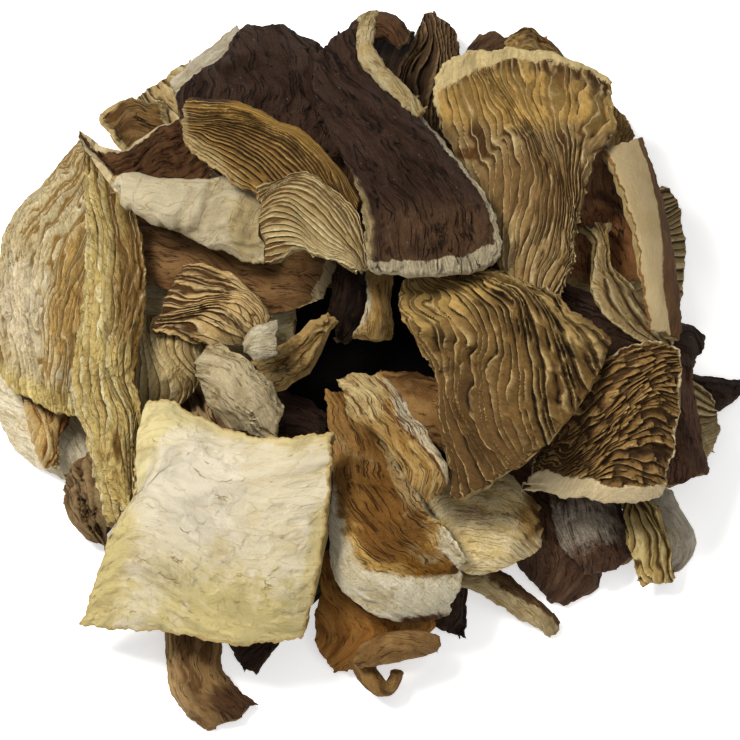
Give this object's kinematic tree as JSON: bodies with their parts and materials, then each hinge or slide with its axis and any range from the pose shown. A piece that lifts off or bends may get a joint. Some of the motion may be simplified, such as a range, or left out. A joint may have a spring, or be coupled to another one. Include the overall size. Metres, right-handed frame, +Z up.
{
  "type": "dried oyster mushroom cluster",
  "caption": "Loose heap of dried oyster mushroom cuts: gilled fans, dark cap pieces and cream flesh, curled and leaning on each other in a low mound.",
  "frame": {"origin": "on the table under the middle of the heap's box", "axes": "+Z up, +Y from the heap's front to its back, +X to its right"},
  "size_m": [0.1527, 0.1524, 0.0502],
  "materials": {
    "cap_skin_dark": "dull",
    "cap_skin_brown": "dull",
    "gills_tan": "dull",
    "gills_brown": "dull",
    "gills_dark": "dull",
    "gills_pale": "dull",
    "flesh_cream": "dull",
    "flesh_white": "dull",
    "flesh_golden": "dull"
  },
  "bodies": {
    "root": {"cap_floor": "cap_skin_dark", "cap_tip_low": "cap_skin_dark", "cap_tip_front": "cap_skin_dark", "cap_tip_right": "cap_skin_dark", "cream_low_left": "flesh_white", "gill_dark_left": "gills_dark", "stem_low": "gills_brown", "gill_bit_left": "gills_pale", "cap_bit_top": "cap_skin_brown", "gill_edge_top": "gills_tan", "gill_fringe_right": "gills_pale", "prop_left": "flesh_cream", "prop_top": "cap_skin_brown", "gill_edge_right": "gills_pale", "cap_low_right": "cap_skin_dark", "gill_low_left": "flesh_golden", "flesh_low_right": "flesh_white", "cap_grey_right": "cap_skin_brown", "spike_low": "flesh_cream", "gill_low_right": "gills_pale", "cap_right": "cap_skin_brown", "gill_top": "gills_dark", "cap_bit_right": "flesh_golden", "flesh_back": "flesh_white", "cap_bit_left": "cap_skin_brown", "brown_right": "cap_skin_brown", "cap_band_right": "cap_skin_dark", "flesh_fold_right": "flesh_golden", "stick_right": "flesh_cream", "gill_under_fan": "flesh_cream", "brown_mid": "gills_brown", "cap_bit_mid": "cap_skin_dark", "cap_center": "cap_skin_dark", "gill_center_strip": "flesh_golden", "gill_inner_right": "gills_brown", "knob_low_right": "flesh_cream", "brown_front": "gills_brown", "hook_front": "gills_brown", "roll_front": "gills_brown", "fan_left": "flesh_cream", "strip_left": "flesh_golden", "brown_left": "cap_skin_brown", "lip_left": "flesh_white", "cap_back": "cap_skin_dark", "roll_top": "cap_skin_brown", "gill_brown_mid": "gills_brown", "gill_pale_mid": "gills_pale", "gill_curl_mid": "gills_tan", "gill_small_mid": "gills_tan", "chip_white": "flesh_white", "oblong_cream": "flesh_white", "gill_right_fan": "gills_tan", "gill_slab_top": "gills_tan", "gill_center": "gills_tan", "boat_front": "flesh_cream", "strip_mid": "flesh_golden", "slab_front": "flesh_cream", "cap_wedge": "cap_skin_dark", "rim_roll": "flesh_cream"}
  },
  "joints": []
}
